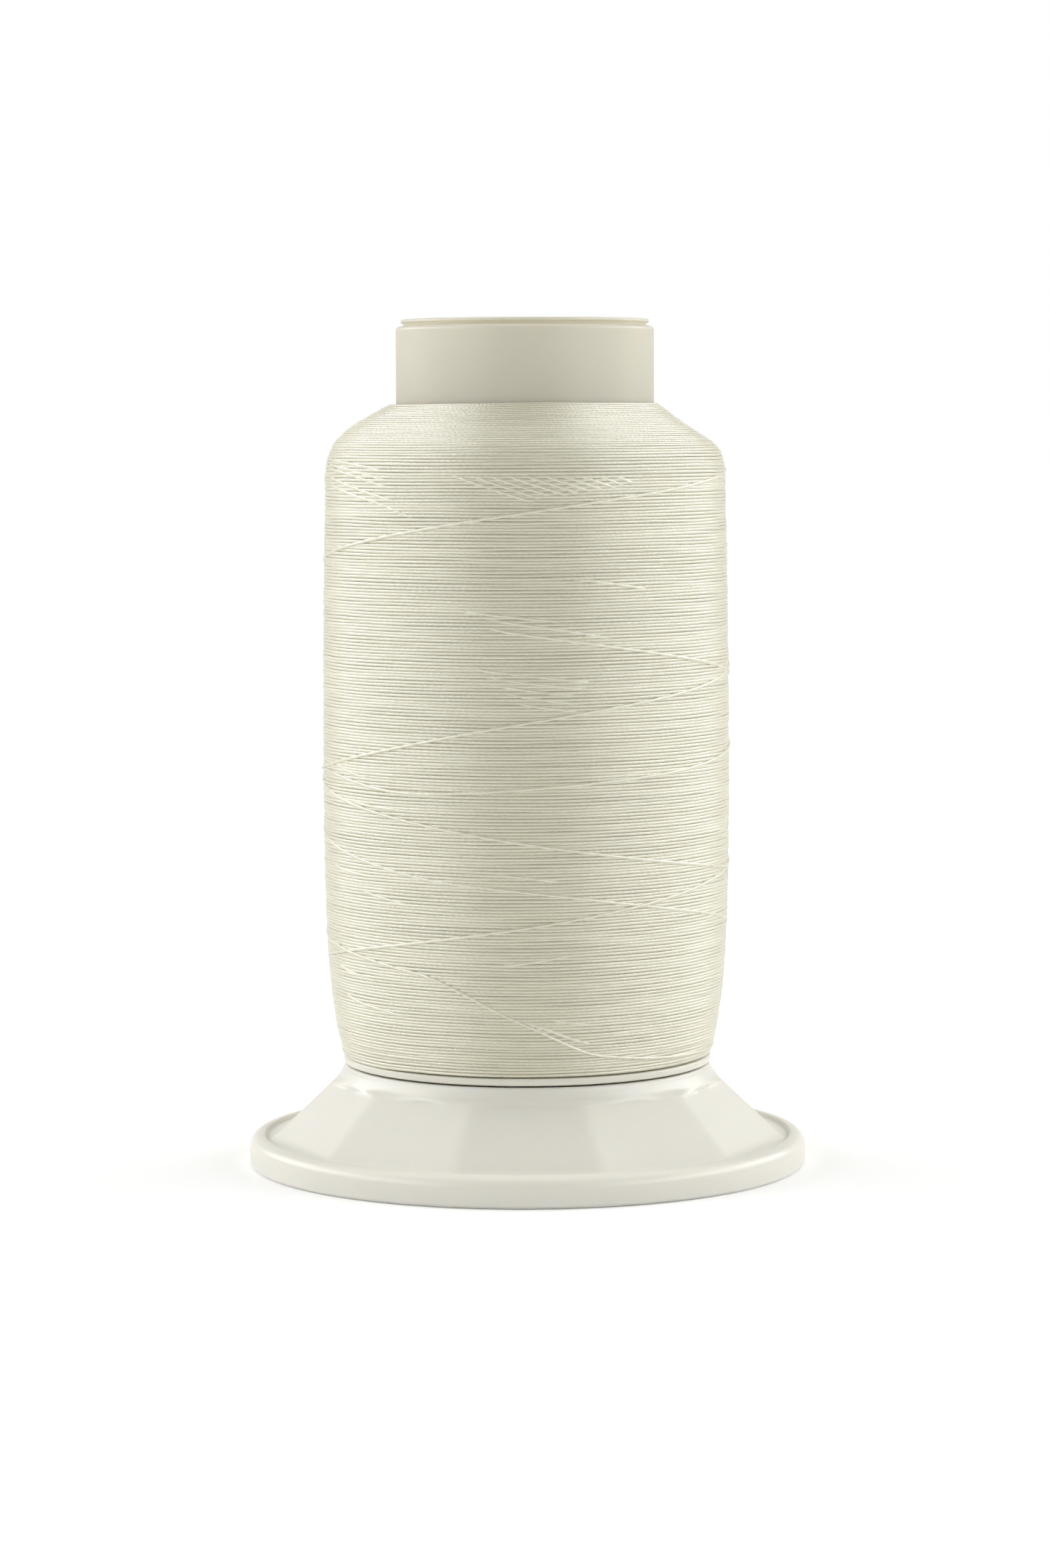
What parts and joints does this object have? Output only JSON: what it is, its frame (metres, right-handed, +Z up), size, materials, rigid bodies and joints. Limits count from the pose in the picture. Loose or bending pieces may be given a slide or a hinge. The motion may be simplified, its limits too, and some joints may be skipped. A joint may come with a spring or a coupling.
{
  "type": "spool of thread",
  "caption": "King-size snap spool: tubular core with a cream cross-wound thread package, standing on a flared, panelled plastic foot that pulls down to trap the thread's tail.",
  "frame": {"origin": "centre of the ring that the foot stands on", "axes": "+Z up along the spool's axis; the middle of one foot panel faces -Y, the front"},
  "size_m": [0.076, 0.076, 0.1148],
  "materials": {
    "core_plastic": "moulded ivory polypropylene, slightly translucent, satin",
    "foot_plastic": "moulded off-white polypropylene, soft gloss",
    "thread": "cream polyester sewing thread, satin sheen along the wraps"
  },
  "bodies": {
    "foot": {"snap_foot": "foot_plastic"},
    "spool": {"spool_core": "core_plastic", "thread_package": "thread", "thread_winding": "thread"}
  },
  "joints": [
    {"name": "foot_snap", "type": "slide", "parent": "foot", "child": "spool", "axis": [0, 0, 1], "range_m": [0, 0.0035]}
  ]
}
